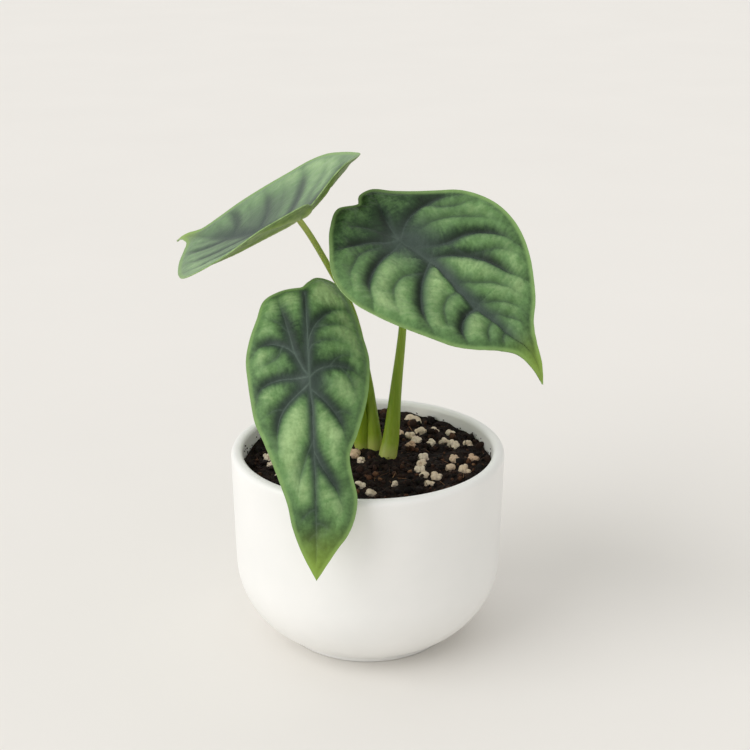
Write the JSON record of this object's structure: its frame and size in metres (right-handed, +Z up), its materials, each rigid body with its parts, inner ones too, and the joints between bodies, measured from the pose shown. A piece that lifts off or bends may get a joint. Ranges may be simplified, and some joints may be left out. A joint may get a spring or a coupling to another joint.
{
  "type": "potted alocasia",
  "caption": "Small alocasia with shield-shaped, deeply veined leaves on tapering stalks, growing in soil with perlite in a round white ceramic pot.",
  "frame": {"origin": "centre of the pot's flat base, on the surface that the pot stands on", "axes": "+Z up along the pot's axis; the front leaf hangs over the rim on the -Y side; +X to the right seen from there"},
  "size_m": [0.1703, 0.1832, 0.2228],
  "materials": {
    "white_glazed_ceramic": "satin white glaze",
    "potting_mix": "dark moist crumbs and fibres",
    "corm_skin": "dry brown skin",
    "root_skin": "pale matte skin",
    "stalk_green": "satin yellow-green",
    "leaf_green": "satin, bright green between dark grey-green veins",
    "perlite": "matte white to cream"
  },
  "bodies": {
    "root": {"pot": "white_glazed_ceramic", "soil": "potting_mix", "corm": "corm_skin", "root_1": "root_skin", "root_2": "root_skin", "root_3": "root_skin", "root_4": "root_skin", "root_5": "root_skin", "root_6": "root_skin", "leaf_stalk_front": "stalk_green", "leaf_blade_front": "leaf_green", "leaf_stalk_right": "stalk_green", "leaf_blade_right": "leaf_green", "leaf_stalk_back": "stalk_green", "leaf_blade_back": "leaf_green", "perlite_grain_1": "perlite", "perlite_grain_2": "perlite", "perlite_grain_3": "perlite", "perlite_grain_4": "perlite", "perlite_grain_5": "perlite", "perlite_grain_6": "perlite", "perlite_grain_7": "perlite", "perlite_grain_8": "perlite", "perlite_grain_9": "perlite", "perlite_grain_10": "perlite", "perlite_grain_11": "perlite", "perlite_grain_12": "perlite", "perlite_grain_13": "perlite", "perlite_grain_14": "perlite", "perlite_grain_15": "perlite", "perlite_grain_16": "perlite", "perlite_grain_17": "perlite", "perlite_grain_18": "perlite", "perlite_grain_19": "perlite", "perlite_grain_20": "perlite", "perlite_grain_21": "perlite", "perlite_grain_22": "perlite", "perlite_grain_23": "perlite", "perlite_grain_24": "perlite", "perlite_grain_25": "perlite", "perlite_grain_26": "perlite", "perlite_grain_27": "perlite", "perlite_grain_28": "perlite", "perlite_grain_29": "perlite", "perlite_grain_30": "perlite", "perlite_grain_31": "perlite", "perlite_grain_32": "perlite", "perlite_grain_33": "perlite", "perlite_grain_34": "perlite", "perlite_grain_35": "perlite"}
  },
  "joints": []
}
